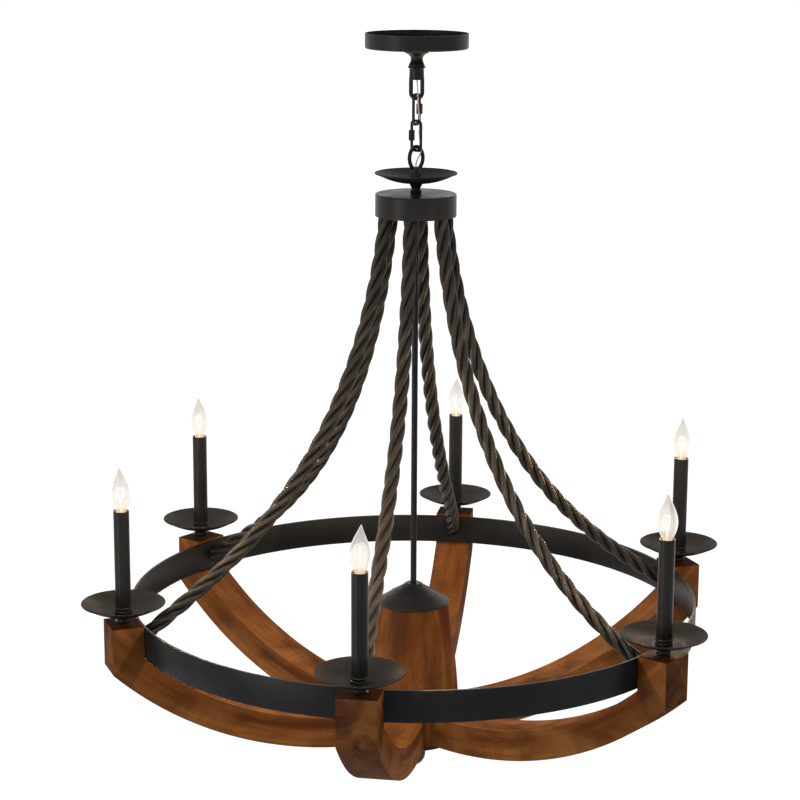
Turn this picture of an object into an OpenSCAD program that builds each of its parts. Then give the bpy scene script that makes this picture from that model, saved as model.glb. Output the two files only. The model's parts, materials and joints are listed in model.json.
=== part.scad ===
// Wagon wheel chandelier: an iron hub on two quick links, six twisted iron arms,
// a flat iron ring, six curved wooden spokes with candle blocks, and a turned post.
// The origin is on the ceiling, at the centre of the canopy. +Z is up, and spoke 1
// points along -Y. Spokes are numbered clockwise as seen from above.

/* [Ceiling mount] */
// Outside diameter of the canopy
canopy_d = 167; // [150:1:200]
// Height of the canopy
canopy_h = 24.6; // [20:0.2:40]
// Sheet thickness of the canopy
canopy_wall = 1.5; // [1:0.1:2.5]
// Rounding of the canopy's lower edge
canopy_edge_r = 3; // [2:0.5:6]
// Length of the crossbar
crossbar_len = 105; // [100:1:130]
// Width of the crossbar
crossbar_w = 19; // [16:0.5:25]
// Thickness of the crossbar
crossbar_t = 2.5; // [1.5:0.1:4]
// Distance between the crossbar's slots, centre to centre
slot_spacing = 79.4; // [76:0.1:82]
// End-to-end length of a slot
slot_len = 14.1; // [10:0.1:16]
// Half the width of a slot
slot_r = 2.3; // [2.1:0.1:2.8]
// Outside radius of the threaded tubes in the canopy and the candles
tube_r = 4.75; // [4.5:0.05:5.2]
// Bore radius of the threaded tubes
tube_bore_r = 3.3; // [2.6:0.1:3.6]
// Diameter of the collar's flange
collar_d = 41.5; // [36:0.5:48]
// Height of the collar under the canopy
collar_h = 27.7; // [24:0.1:34]

/* [Canopy loop] */
// Diameter of the bead at the top of the loop
loop_bead_d = 29; // [26:0.5:32]
// Diameter of the loop's solid top
loop_top_d = 24.6; // [24:0.1:26]
// Height of the loop's top, from the collar to the slot
loop_top_h = 21.7; // [20:0.1:30]
// Height of the loop's slot
loop_slot_h = 26.7; // [24:0.1:32]
// Distance from the loop's centre to the middle of its side bar
loop_half_w = 9.1; // [8.8:0.1:10]
// Radius of the loop's bar
loop_wire_r = 3.4; // [3:0.1:3.6]

/* [Chain] */
// Radius of the wire of a quick link
link_wire_r = 2.4; // [2:0.1:2.5]
// Height of a quick link between wire centres
link_h = 47.7; // [44:0.1:52]
// Width of a quick link between wire centres
link_w = 21; // [20.5:0.1:23]
// Bend radius of a quick link at the wire's centre
link_bend_r = 6; // [5.5:0.1:6.5]
// Width of the opening that the sleeve nut closes
link_gap = 5; // [4:0.5:6]
// Width across the flats of the sleeve nut
nut_af = 9; // [8.5:0.1:10]
// Length of the sleeve nut
nut_len = 17; // [15:0.5:18]
// Clearance between one hanging piece and the next
seat_gap = 0.35; // [0.3:0.01:0.5]
// Direction of the canopy loop, seen from above
loop_turn = 9.4; // [0:0.1:20]
// Turn of the upper quick link from the loop
upper_turn = 62; // [58:1:66]
// Turn of the lower quick link from the loop
lower_turn = -46; // [-48:1:-44]
// Turn of the hub eye from the loop
eye_turn = 24; // [22:1:28]

/* [Hub] */
// Radius of the hub eye's bar
eye_wire_r = 3.2; // [3:0.1:3.4]
// Half width of the eye at the bar's centre
eye_half_w = 11.9; // [11:0.1:13]
// Half height of the eye at the bar's centre
eye_half_h = 18.3; // [17:0.1:20]
// Radius of the eye's ends at the bar's centre
eye_end_r = 9; // [8.5:0.1:9.5]
// Outside radius of the eye's hollow stem
stem_r = 6; // [5.5:0.1:7]
// Bore radius of the eye's stem
stem_bore_r = 2.2; // [2:0.1:3]
// Radius of the dish's rim
dish_r = 67.5; // [60:0.5:80]
// Depth of the dish
dish_depth = 15.4; // [12:0.2:20]
// Thickness of the spun dishes
dish_t = 1.5; // [1:0.1:2]
// Height of the turned spacer
spacer_h = 17.2; // [14:0.2:24]
// Radius of the drum
drum_r = 66.5; // [65:0.5:80]
// Height of the drum
drum_h = 36.3; // [32:0.1:50]
// Sheet thickness of the drum
drum_wall = 2; // [1.5:0.1:2.5]
// Thickness of the drum's floor plate
floor_t = 6; // [4:0.5:8]
// How far the floor plate sits above the drum's lower edge
floor_recess = 2.5; // [1:0.5:5]

/* [Twisted arms] */
// Distance from the axis to a twisted arm where it leaves the hub
rope_hub_r = 51.6; // [48:0.1:51.7]
// Drop from the hub's floor plate to the middle of the ring
rope_drop = 671.5; // [600:0.5:760]
// Radius of one strand
strand_r = 5.1; // [5.06:0.02:5.3]
// Distance from the centre of a twisted arm to the middle of a strand
strand_ring = 7.1; // [6.9:0.05:7.15]
// Length in which a strand goes once round
rope_lay = 154; // [120:1:220]
// Drop of the curve's first control point under the hub
rope_pull_down = 450; // [380:1:480]
// Distance by which that control point stands further out than the hub end
rope_pull_out = 52.5; // [30:0.5:60]
// Reach of the curve's last control point inside the ring
rope_pull_in = 126; // [110:1:160]
// Height of the curve's last control point above the ring's middle
rope_pull_up = 82.5; // [60:0.5:110]
// Sideways lean of that control point, clockwise as seen from above
rope_lean = 26; // [0:0.5:30]
// Rings of points along a twisted arm
rope_rings = 66; // [40:1:66]

/* [Wheel] */
// Outside radius of the iron ring
ring_r = 476; // [420:1:560]
// Height of the ring's band
ring_h = 50.8; // [45:0.1:60]
// Thickness of the ring's band
ring_t = 5; // [4:0.5:6]
// Width of a wooden spoke
arm_w = 63.5; // [50:0.5:68]
// Depth of a wooden spoke's curved band
arm_t = 50.8; // [45:0.1:56]
// Depth of a candle block outside the ring
block_depth = 52; // [46:0.5:60]
// Outer radius of a spoke's arc
arm_arc_r = 626.6; // [600:0.1:680]
// Distance from the axis to the centre of a spoke's arc
arm_arc_x = 93; // [85:0.5:110]
// Drop from the ring's lower edge to the spoke below it
arm_below_ring = 3; // [1:0.5:5]
// Radius of the studs that hold ring and blocks
stud_r = 4; // [3:0.5:4]
// Length of a stud inside the block
stud_grip = 35; // [25:1:40]

/* [Centre] */
// Radius of the centre rod
rod_r = 5.15; // [4.5:0.05:6]
// Radius of the post's foot, where the spokes meet it
post_foot_r = 78; // [72:0.5:90]
// Radius of the post's top
post_top_r = 57; // [50:0.5:62]
// Height of the post
post_h = 239.5; // [200:0.5:260]
// Height of the post's straight foot
post_foot_h = 56; // [51.5:0.5:70]
// Width of the post's sloped shoulder under the cap
shoulder_w = 8; // [4:0.5:10]
// Depth of the post's sloped shoulder
shoulder_h = 5; // [3:0.5:5]
// How far the cap's edge stands out from the post
cap_lip = 1.5; // [1:0.1:3]
// Height of the cap above the post
cap_h = 28; // [24:0.1:40]
// Depth of the cap's skirt below the post's top
cap_skirt = 5; // [5:0.5:10]
// Thickness of the base plate
base_t = 7; // [5:0.5:10]
// Radius of the finial's ball
ball_r = 22.5; // [18:0.5:28]
// Height of the finial's neck
ball_neck_h = 9; // [6:0.5:14]
// Radius of the dowels between spokes and post
dowel_r = 6; // [4:0.5:6.5]
// Length of a dowel
dowel_len = 60; // [40:1:64]

/* [Candles] */
// Height of a candle block above the ring's upper edge
block_above_ring = 2.5; // [1:0.5:4]
// Height of the neck under a drip pan
neck_h = 17; // [16:0.5:26]
// Radius of the neck's ball
neck_r = 12; // [11:0.5:14]
// Radius of a drip pan
pan_r = 68; // [60:0.5:75]
// Depth of a drip pan
pan_depth = 17; // [13:0.5:20]
// Radius of a candle sleeve
sleeve_r = 12.7; // [12.2:0.1:14]
// Wall of a candle sleeve
sleeve_wall = 0.8; // [0.6:0.1:1.2]
// Height of a candle sleeve
sleeve_h = 170.3; // [110:0.1:200]
// Radius of a bulb's screw base
base_r = 5.9; // [5.8:0.05:6.2]
// Height of a bulb's screw base
base_h = 20; // [18:0.5:23]
// Largest radius of a bulb
bulb_r = 15.9; // [14:0.1:17.5]
// Height of a bulb's glass
glass_h = 77; // [65:0.5:85]
// Thickness of the glass
glass_t = 0.7; // [0.5:0.1:1]

/* [Fits] */
// Clearance of a fixed piece in its hole
slip = 0.1; // [0.05:0.01:0.15]
// Radial clearance of a piece that turns or slides in a bore
running = 0.08; // [0.04:0.01:0.1]

/* [Hidden] */
$fn = 96;

spokes = 6;
spoke_step = 360 / spokes;

// Heights, worked out from the ceiling down
collar_z = -canopy_h;
loop_z = collar_z - collar_h;
slot_z = loop_z - loop_top_h;
loop_slot_r = loop_half_w - loop_wire_r;
loop_arc_z = slot_z - loop_slot_h + loop_slot_r;
loop_bar_z = loop_arc_z - loop_half_w;
upper_top_z = loop_bar_z + loop_wire_r + seat_gap + link_wire_r;
upper_bar_z = upper_top_z - link_h;
lower_top_z = upper_bar_z + 2 * link_wire_r + seat_gap;
lower_bar_z = lower_top_z - link_h;
eye_top_z = lower_bar_z + link_wire_r + seat_gap + eye_wire_r;
eye_z = eye_top_z - eye_half_h;
eye_foot_z = eye_z - eye_half_h;
dish_drop = 5.15;
dish_z = eye_foot_z - dish_drop;
dish_floor_z = dish_z - dish_depth;
spacer_z = dish_floor_z - dish_t;
drum_z = spacer_z - spacer_h;
floor_z = drum_z - drum_h + floor_recess;
ring_z = floor_z - rope_drop;
ring_top_z = ring_z + ring_h / 2;
ring_low_z = ring_z - ring_h / 2;

// Spokes and post
arm_inner_r = arm_arc_r - arm_t;
arm_arc_z = ring_low_z - arm_below_ring + sqrt(pow(arm_inner_r, 2) - pow(ring_r - arm_arc_x, 2));
arm_low_z = arm_arc_z - arm_arc_r;
block_r = ring_r + block_depth;
post_top_z = arm_low_z + post_h;
base_z = arm_low_z - base_t;
ball_z = base_z - ball_neck_h - ball_r;

// Candles
candle_x = ring_r + block_depth / 2;
block_top_z = ring_top_z + block_above_ring;
pan_under_z = block_top_z + neck_h;
pan_floor_z = pan_under_z + dish_t;
sleeve_top_z = pan_floor_z + sleeve_h;
socket_r = 10.6;
socket_top_z = sleeve_top_z - 6.7;
glass_z = socket_top_z + 1.5;
socket_low_z = glass_z - base_h - 18;
socket_seat = 10;
nipple_hole = 15;

// Hub fasteners
stem_len = 26;
stem_foot_z = drum_z - drum_wall - 6.8;
rod_top_z = floor_z + floor_t + 10;
rod_foot_z = ball_z + 6;
nut_h = 5.5;
rope_tube_r = 6;
rope_tube_bore_r = 4;

// Wire route of the lamp cord through the loop, the links and the eye
cord_r = 1.1;
cord_sides = 8;
cord_steps = 2;
cord_route = [
    [0, 0, -1], [0, 0, -14], [0, 0, -27], [0, 0, -40], [0, 0, -54], [0, 0, -67],
    [1, -1.5, -77], [2, -3.5, -87], [3, -5, -96], [3, -5, -105], [3, -3, -114],
    [3.5, -0.5, -123], [4.5, 1, -132], [5, 1.5, -141], [5, 1.5, -150], [4.5, 1, -159],
    [5.5, 0.5, -168], [7.5, -0.8, -177], [8.3, -0.7, -185], [7, -0.7, -193],
    [3, -0.5, -201], [0, 0, -209], [0, 0, -218], [0, 0, -235], [0, 0, -252],
    [0, 0, -269]
];

iron = [0.11, 0.11, 0.12];
dark_iron = [0.08, 0.08, 0.085];
zinc = [0.62, 0.63, 0.65];
wood = [0.55, 0.33, 0.18];
dowel_wood = [0.78, 0.62, 0.42];
phenolic = [0.13, 0.12, 0.11];
glass = [0.95, 0.93, 0.86, 0.45];
copper_pink = [0.75, 0.55, 0.48];
earth_green = [0.16, 0.42, 0.22];

// ---- Shapes that repeat ----

// Puts its children on spoke k, with local +X pointing outwards
module on_spoke(k) {
    rotate([0, 0, -90 - spoke_step * (k - 1)]) children();
}

module on_spokes() {
    for (k = [1 : spokes]) on_spoke(k) children();
}

// Round bar from z1 up to z2
module bar(r, z1, z2) {
    translate([0, 0, z1]) cylinder(r = r, h = z2 - z1);
}

// Round bar along X from x1 to x2
module bar_x(r, x1, x2) {
    translate([x1, 0, 0]) rotate([0, 90, 0]) cylinder(r = r, h = x2 - x1);
}

module tube(r, bore, z1, z2) {
    difference() {
        bar(r, z1, z2);
        bar(bore, z1 - 1, z2 + 1);
    }
}

// Hexagonal nut, its lower face at z
module hex_nut(af, bore, h, z) {
    translate([0, 0, z]) difference() {
        cylinder(r = af / sqrt(3), h = h, $fn = 6);
        translate([0, 0, -1]) cylinder(r = bore, h = h + 2, $fn = 48);
    }
}

function arc_points(cx, cy, r, a1, a2, n) =
    [for (i = [0 : n]) let (a = a1 + (a2 - a1) * i / n) [cx + r * cos(a), cy + r * sin(a)]];

// Sheet-metal pan with its closed end at z = 0 and its mouth h below
module pan(r, h, wall, edge_r, hole_r) {
    inner_r = max(edge_r - wall, 0.5);
    rotate_extrude() polygon(concat(
        [[hole_r, 0]],
        arc_points(r - edge_r, -edge_r, edge_r, 90, 0, 8),
        [[r, -h], [r - wall, -h]],
        arc_points(r - wall - inner_r, -wall - inner_r, inner_r, 0, 90, 6),
        [[hole_r, -wall]]
    ));
}

// Spun dish: flat floor with its upper face at z = 0, rising to a rolled rim
module spun_dish(r, floor_r, depth, t, hole_r) {
    steps = 12;
    bead_r = 0.75 * t;
    open_a = asin(t / 2 / bead_r);
    x_end = r - bead_r - bead_r * cos(open_a);
    sheet_rise = depth - bead_r + t / 2;
    function rise(x) = sheet_rise * pow((x - floor_r) / (x_end - floor_r), 2);
    xs = [for (i = [0 : steps]) floor_r + (x_end - floor_r) * i / steps];
    rotate_extrude() polygon(concat(
        [[hole_r, 0]],
        [for (i = [0 : steps - 1]) [xs[i], rise(xs[i])]],
        arc_points(r - bead_r, depth - bead_r, bead_r, 180 - open_a, open_a - 180, 10),
        [for (i = [steps - 1 : -1 : 0]) [xs[i], rise(xs[i]) - t]],
        [[hole_r, -t]]
    ));
}

// Quarter bend of round bar in the XZ plane about (cx, cz)
module bend(cx, cz, r, wire_r, from, sweep) {
    translate([cx, 0, cz]) rotate([90, 0, 0])
        rotate_extrude(angle = sweep, start = from) translate([r, 0]) circle(r = wire_r, $fn = 32);
}

// ---- Ceiling mount ----

module canopy() {
    color(iron) translate([0, 0, -canopy_h]) mirror([0, 0, 1])
        pan(canopy_d / 2, canopy_h, canopy_wall, canopy_edge_r, tube_r + slip);
}

module crossbar_slot(x) {
    reach = slot_len / 2 - slot_r;
    for (s = [-1, 1]) translate([x + s * reach, 0, 0]) bar(slot_r, -crossbar_t - 1, 1);
    translate([x - reach, -slot_r, -crossbar_t - 1]) cube([2 * reach, 2 * slot_r, crossbar_t + 2]);
}

ground_x = 24;
ground_r = 2;

module crossbar() {
    color(zinc) difference() {
        translate([-crossbar_len / 2, -crossbar_w / 2, -crossbar_t])
            cube([crossbar_len, crossbar_w, crossbar_t]);
        for (s = [-1, 1]) crossbar_slot(s * slot_spacing / 2);
        bar(tube_r + slip, -crossbar_t - 1, 1);
        translate([ground_x, 0, 0]) bar(ground_r + slip, -crossbar_t - 1, 1);
    }
}

module ground_screw() {
    head_h = 2.4;
    head_af = 7;
    color(earth_green) translate([ground_x, 0, 0]) union() {
        bar(ground_r, -crossbar_t - 4, -0.2);
        translate([0, 0, -crossbar_t - head_h])
            cylinder(r = head_af / sqrt(3), h = head_h, $fn = 6);
    }
}

nipple_foot_z = slot_z + 8;

module canopy_nipple() {
    color(zinc) tube(tube_r, tube_bore_r, nipple_foot_z, 0);
}

module nipple_nut() {
    color(zinc) hex_nut(15, tube_r + slip, 4, -crossbar_t - 4);
}

module collar_ring() {
    r = collar_d / 2;
    edge = 3.7;
    neck = 9.6;
    foot = 12.6;
    color(dark_iron) translate([0, 0, collar_z]) rotate_extrude() polygon(concat(
        [[tube_r + slip, 0]],
        arc_points(r - edge, -edge, edge, 90, -80, 8),
        [[r - 7, -9.5], [neck + 1.6, -12], [neck + 0.3, -14], [neck, -16]],
        [[neck + 0.3, -18.5], [neck + 1.2, -21.5], [foot, -collar_h + 2.5]],
        [[foot + 0.4, -collar_h], [tube_r + slip, -collar_h]]
    ));
}

module canopy_loop() {
    bead_r = loop_bead_d / 2;
    top_r = loop_top_d / 2;
    color(dark_iron) rotate([0, 0, loop_turn]) union() {
        difference() {
            translate([0, 0, loop_z]) rotate_extrude() polygon(concat(
                [[0, 0], [bead_r - 1.6, 0]],
                arc_points(bead_r - 1.4, -1.8, 1.4, 80, -80, 6),
                [[top_r - 0.6, -4.6], [top_r - 0.3, -loop_top_h + 5], [top_r, -loop_top_h]],
                [[0, -loop_top_h]]
            ));
            bar(tube_r + slip, nipple_foot_z, loop_z + 1);
            bar(tube_bore_r, slot_z - 1, nipple_foot_z + 1);
        }
        for (s = [-1, 1]) translate([s * loop_half_w, 0, 0])
            bar(loop_wire_r, loop_arc_z, slot_z + 3);
        bend(0, loop_arc_z, loop_half_w, loop_wire_r, 180, 180);
    }
}

// ---- Chain ----

// Height range of a link's straight side, measured from the link's middle
link_straight = link_h / 2 - link_bend_r;
// The nut rests over the gap; it slides up by this much to open the link
nut_grip = 2.5;
nut_travel = link_gap + nut_grip;

// A bent wire in the XZ plane, its middle at z = 0, open at one side
module quick_link(gap_side) {
    x = link_w / 2;
    cx = x - link_bend_r;
    cz = link_straight;
    gap_low = -nut_len / 2 + nut_grip;
    for (s = [-1, 1]) {
        translate([0, 0, s * link_h / 2]) bar_x(link_wire_r, -cx, cx);
        bend(s * cx, cz, link_bend_r, link_wire_r, s > 0 ? 0 : 90, 90);
        bend(s * cx, -cz, link_bend_r, link_wire_r, s > 0 ? 270 : 180, 90);
    }
    translate([-gap_side * x, 0, 0]) bar(link_wire_r, -cz, cz);
    translate([gap_side * x, 0, 0]) {
        bar(link_wire_r, -cz, gap_low);
        bar(link_wire_r, gap_low + link_gap, cz);
    }
}

// Sleeve nut of a quick link, with its corners turned off at both ends
module sleeve_nut() {
    r = nut_af / sqrt(3);
    turned = 1.2;
    difference() {
        intersection() {
            translate([0, 0, -nut_len / 2]) cylinder(r = r, h = nut_len, $fn = 6);
            rotate_extrude() polygon([
                [0, -nut_len / 2], [nut_af / 2 - 0.3, -nut_len / 2],
                [r, -nut_len / 2 + turned], [r, nut_len / 2 - turned],
                [nut_af / 2 - 0.3, nut_len / 2], [0, nut_len / 2]
            ]);
        }
        bar(link_wire_r + running, -nut_len, nut_len);
    }
}

module place_link(turn, top_z) {
    rotate([0, 0, loop_turn + turn]) translate([0, 0, top_z - link_h / 2]) children();
}

module upper_link() {
    color(dark_iron) place_link(upper_turn, upper_top_z) quick_link(1);
}

module upper_link_nut() {
    color(dark_iron) place_link(upper_turn, upper_top_z)
        translate([link_w / 2, 0, 0]) sleeve_nut();
}

module lower_link() {
    color(dark_iron) place_link(lower_turn, lower_top_z) quick_link(-1);
}

module lower_link_nut() {
    color(dark_iron) place_link(lower_turn, lower_top_z)
        translate([-link_w / 2, 0, 0]) sleeve_nut();
}

// ---- Lamp cord: a round tube swept along the route ----

function smooth(p0, p1, p2, p3, t) = 0.5 * (2 * p1 + (p2 - p0) * t
    + (2 * p0 - 5 * p1 + 4 * p2 - p3) * t * t + (3 * p1 - p0 - 3 * p2 + p3) * t * t * t);
function route_at(route, i, t) = let (last = len(route) - 1)
    smooth(route[max(i - 1, 0)], route[i], route[i + 1], route[min(i + 2, last)], t);
function swept_route(route, steps) = concat(
    [for (i = [0 : len(route) - 2], s = [0 : steps - 1]) route_at(route, i, s / steps)],
    [route[len(route) - 1]]
);

// Triangles between rings of n points, with a centre point at each end
function tube_faces(rings, n) = concat(
    [for (i = [0 : rings - 2], j = [0 : n - 1])
        [i * n + j, (i + 1) * n + j, (i + 1) * n + (j + 1) % n]],
    [for (i = [0 : rings - 2], j = [0 : n - 1])
        [i * n + j, (i + 1) * n + (j + 1) % n, i * n + (j + 1) % n]],
    [for (j = [0 : n - 1]) [rings * n, j, (j + 1) % n]],
    [for (j = [0 : n - 1]) [rings * n + 1, (rings - 1) * n + (j + 1) % n, (rings - 1) * n + j]]
);

// The cord runs mostly downwards, so its rings keep their X direction
module swept_cord(route, r, sides) {
    n = len(route);
    function along(i) = let (d = route[min(i + 1, n - 1)] - route[max(i - 1, 0)]) d / norm(d);
    function ring_at(i) = let (
        t = along(i),
        v = cross(t, [1, 0, 0]) / norm(cross(t, [1, 0, 0])),
        u = cross(v, t)
    ) [for (j = [0 : sides - 1]) let (a = 360 * j / sides) route[i] + r * (cos(a) * u + sin(a) * v)];
    polyhedron(
        points = concat([for (i = [0 : n - 1]) each ring_at(i)], [route[0], route[n - 1]]),
        faces = tube_faces(n, sides)
    );
}

module lamp_cord() {
    color(copper_pink) swept_cord(swept_route(cord_route, cord_steps), cord_r, cord_sides);
}

// ---- Hub ----

// Four-centre oval of round bar in the XZ plane, its arcs joined inside small knuckles
module oval_eye() {
    rise = eye_half_h - eye_end_r;
    side_r = (pow(eye_half_w, 2) + pow(rise, 2) - pow(eye_end_r, 2)) / (2 * (eye_half_w - eye_end_r));
    side_x = side_r - eye_half_w;
    tilt = atan2(rise, side_x);
    knuckle = 0.05;
    short = 1;
    for (s = [0, 180]) rotate([0, s, 0]) {
        bend(0, rise, eye_end_r, eye_wire_r, tilt + short, 180 - 2 * (tilt + short));
        bend(-side_x, 0, side_r, eye_wire_r, -tilt + short / 2, 2 * tilt - short);
        for (m = [-1, 1]) translate([m * eye_end_r * cos(tilt), 0, rise + eye_end_r * sin(tilt)])
            sphere(r = eye_wire_r + knuckle, $fn = 48);
    }
}

module hub_eye() {
    boss_top = eye_foot_z + eye_wire_r + 0.8;
    color(dark_iron) difference() {
        union() {
            translate([0, 0, eye_z]) rotate([0, 0, loop_turn + eye_turn]) oval_eye();
            rotate_extrude() polygon([
                [0, boss_top], [5, boss_top], [7.5, eye_foot_z], [9, dish_z - 6],
                [11, dish_floor_z + 2], [11, dish_floor_z], [0, dish_floor_z]
            ]);
            bar(stem_r, stem_foot_z, dish_floor_z + 1);
        }
        bar(stem_bore_r, stem_foot_z - 1, boss_top + 1);
    }
}

module hub_dish() {
    color(iron) translate([0, 0, dish_floor_z])
        spun_dish(dish_r, 11.5, dish_depth, dish_t, stem_r + slip);
}

module hub_spacer() {
    waist = 7.3;
    color(dark_iron) translate([0, 0, drum_z]) rotate_extrude() polygon(concat(
        [[stem_r + slip, spacer_h], [11, spacer_h], [11, spacer_h - 1.2]],
        [[9.5, spacer_h - 4], [waist + 0.8, spacer_h - 7], [waist, spacer_h - 9]],
        [[waist, 5.6]],
        arc_points(7.6, 3.5, 2.1, 90, -60, 6),
        [[9.5, 1], [9.5, 0], [stem_r + slip, 0]]
    ));
}

module hub_drum() {
    color(iron) translate([0, 0, drum_z]) pan(drum_r, drum_h, drum_wall, 2.5, stem_r + slip);
}

module hub_floor() {
    color(dark_iron) difference() {
        bar(drum_r - drum_wall - slip, floor_z, floor_z + floor_t);
        bar(rod_r + slip, floor_z - 1, floor_z + floor_t + 1);
        on_spokes() translate([rope_hub_r, 0, 0])
            bar(rope_tube_r + slip, floor_z - 1, floor_z + floor_t + 1);
    }
}

module hub_nuts() {
    color(zinc) {
        hex_nut(19, stem_r + slip, nut_h, drum_z - drum_wall - nut_h);
        hex_nut(15, rod_r + slip, nut_h, floor_z + floor_t);
    }
}

module rope_nuts() {
    color(zinc) on_spokes() translate([rope_hub_r, 0, 0]) difference() {
        union() {
            bar(rope_tube_r, floor_z, floor_z + floor_t + nut_h + 3);
            translate([0, 0, floor_z + floor_t])
                cylinder(r = 19 / sqrt(3), h = nut_h, $fn = 6);
        }
        bar(rope_tube_bore_r, floor_z - 1, floor_z + floor_t + nut_h + 4);
    }
}

// ---- Twisted arms: four round strands laid right-handed ----

rope_r = strand_ring + strand_r;
rope_end_x = sqrt(pow(ring_r - ring_t, 2) - pow(rope_r, 2)) - 0.06;
rope_corners = [
    [rope_hub_r, 0, floor_z],
    [rope_hub_r + rope_pull_out, 0, floor_z - rope_pull_down],
    [rope_end_x - rope_pull_in, -rope_lean, ring_z + rope_pull_up],
    [rope_end_x, 0, ring_z]
];

function curve_at(c, t) = pow(1 - t, 3) * c[0] + 3 * pow(1 - t, 2) * t * c[1]
    + 3 * (1 - t) * t * t * c[2] + t * t * t * c[3];
function curve_slope(c, t) = let (
    d = pow(1 - t, 2) * (c[1] - c[0]) + 2 * (1 - t) * t * (c[2] - c[1]) + t * t * (c[3] - c[2])
) d / norm(d);
// Distance along a list of points, one value for each point
function run_lengths(p) = [
    for (i = 0, s = 0; i < len(p); s = s + (i + 1 < len(p) ? norm(p[i + 1] - p[i]) : 0), i = i + 1) s
];
// Distance from the centre of the bundle to a strand's surface, a degrees from its middle
function strand_edge(a) = strand_ring * cos(a) + sqrt(pow(strand_r, 2) - pow(strand_ring * sin(a), 2));

strands = 4;
strand_half = 180 / strands;
// Corners on one strand, as shares of the half angle from its crest to the groove
strand_corners = [-1, -0.53, 0, 0.53];
bundle = [
    for (k = [0 : strands - 1], c = strand_corners)
        [strand_half * (2 * k + c), strand_edge(strand_half * c)]
];

// Evenly spaced places on the curve, found on a fine walk along it
fine_steps = 200;
fine_runs = run_lengths([for (i = [0 : fine_steps]) curve_at(rope_corners, i / fine_steps)]);
fine_places = [for (i = [0 : fine_steps]) [fine_runs[i], i / fine_steps]];
rope_places = [for (i = [0 : rope_rings]) lookup(fine_runs[fine_steps] * i / rope_rings, fine_places)];

module twisted_arm() {
    centres = [for (t = rope_places) curve_at(rope_corners, t)];
    slopes = [for (t = rope_places) curve_slope(rope_corners, t)];
    runs = run_lengths(centres);
    function section(i) = let (
        t = slopes[i],
        square = [0, 1, 0] - t[1] * t,
        across = square / norm(square),
        side = cross(t, across),
        twist = -360 * runs[i] / rope_lay
    ) [for (b = bundle) centres[i] + b[1] * (cos(b[0] + twist) * side + sin(b[0] + twist) * across)];
    // The first section is cut level under the floor plate, the last square to the ring
    function cut_level(p, t) = p + t * (floor_z - p[2]) / t[2];
    function cut_square(p, t) = p + t * (rope_end_x - p[0]) / t[0];
    polyhedron(
        points = concat(
            [for (p = section(0)) cut_level(p, slopes[0])],
            [for (i = [1 : rope_rings - 1]) each section(i)],
            [for (p = section(rope_rings)) cut_square(p, slopes[rope_rings])],
            [centres[0], centres[rope_rings]]
        ),
        faces = tube_faces(rope_rings + 1, len(bundle))
    );
}

module rope(k) {
    color(iron) on_spoke(k) twisted_arm();
}

module rod() {
    color(dark_iron) bar(rod_r, rod_foot_z, rod_top_z);
}

// ---- Wheel ----

module ring() {
    color(iron) difference() {
        bar(ring_r, ring_low_z, ring_top_z);
        bar(ring_r - ring_t, ring_low_z - 1, ring_top_z + 1);
        on_spokes() translate([0, 0, ring_z]) bar_x(stud_r + slip, ring_r - 2 * ring_t, ring_r + 1);
    }
}

module ring_studs() {
    color(zinc) on_spokes() translate([0, 0, ring_z])
        bar_x(stud_r, rope_end_x + slip, ring_r + stud_grip);
}

// Dowel places of one spoke, in its local frame
dowel_y = arm_w / 4;
dowel_z = arm_low_z + arm_t / 2;

module spoke_dowels(r, end_clearance) {
    for (s = [-1, 1]) translate([0, s * dowel_y, dowel_z])
        bar_x(r, post_foot_r - dowel_len / 2 - end_clearance, post_foot_r + dowel_len / 2 + end_clearance);
}

module arm(k) {
    color(wood) on_spoke(k) difference() {
        union() {
            // Curved band, from the lowest point of the arc out to the block's face
            intersection() {
                translate([arm_arc_x, arm_w / 2, arm_arc_z]) rotate([90, 0, 0])
                    rotate_extrude(angle = 60, start = 270, $fn = 360)
                        translate([arm_inner_r, 0]) square([arm_t, arm_w]);
                translate([0, -arm_w, arm_low_z - 1])
                    cube([block_r, 2 * arm_w, ring_low_z - arm_low_z + 1]);
            }
            // Straight stretch in to the post
            translate([post_foot_r / 2, -arm_w / 2, arm_low_z])
                cube([arm_arc_x - post_foot_r / 2, arm_w, arm_t]);
            // Candle block outside the ring
            translate([ring_r + slip, -arm_w / 2, ring_low_z - arm_below_ring])
                cube([block_depth - slip, arm_w, block_top_z - ring_low_z + arm_below_ring]);
        }
        // Hollowed end that fits the round post
        bar(post_foot_r + slip, arm_low_z - 1, arm_low_z + arm_t + 1);
        spoke_dowels(dowel_r + slip, 1);
        translate([0, 0, ring_z]) bar_x(stud_r + slip, ring_r - 1, ring_r + stud_grip + 1);
        translate([candle_x, 0, 0]) bar(tube_r + slip, block_top_z - nipple_hole, block_top_z + 1);
    }
}

module arm_dowels() {
    color(dowel_wood) on_spokes() spoke_dowels(dowel_r, 0);
}

// ---- Centre ----

module centre_post() {
    flare_h = post_h - post_foot_h;
    steps = 16;
    function flare_r(u) = post_top_r + (post_foot_r - post_top_r) * (1 - pow(1 - u, 1.5));
    color(wood) difference() {
        rotate_extrude() polygon(concat(
            [[rod_r + slip, post_top_z], [post_top_r - shoulder_w, post_top_z]],
            [[post_top_r, post_top_z - shoulder_h]],
            [for (i = [1 : steps]) [flare_r(i / steps), post_top_z - flare_h * i / steps]],
            [[post_foot_r, arm_low_z], [rod_r + slip, arm_low_z]]
        ));
        on_spokes() spoke_dowels(dowel_r + slip, 1);
    }
}

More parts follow.
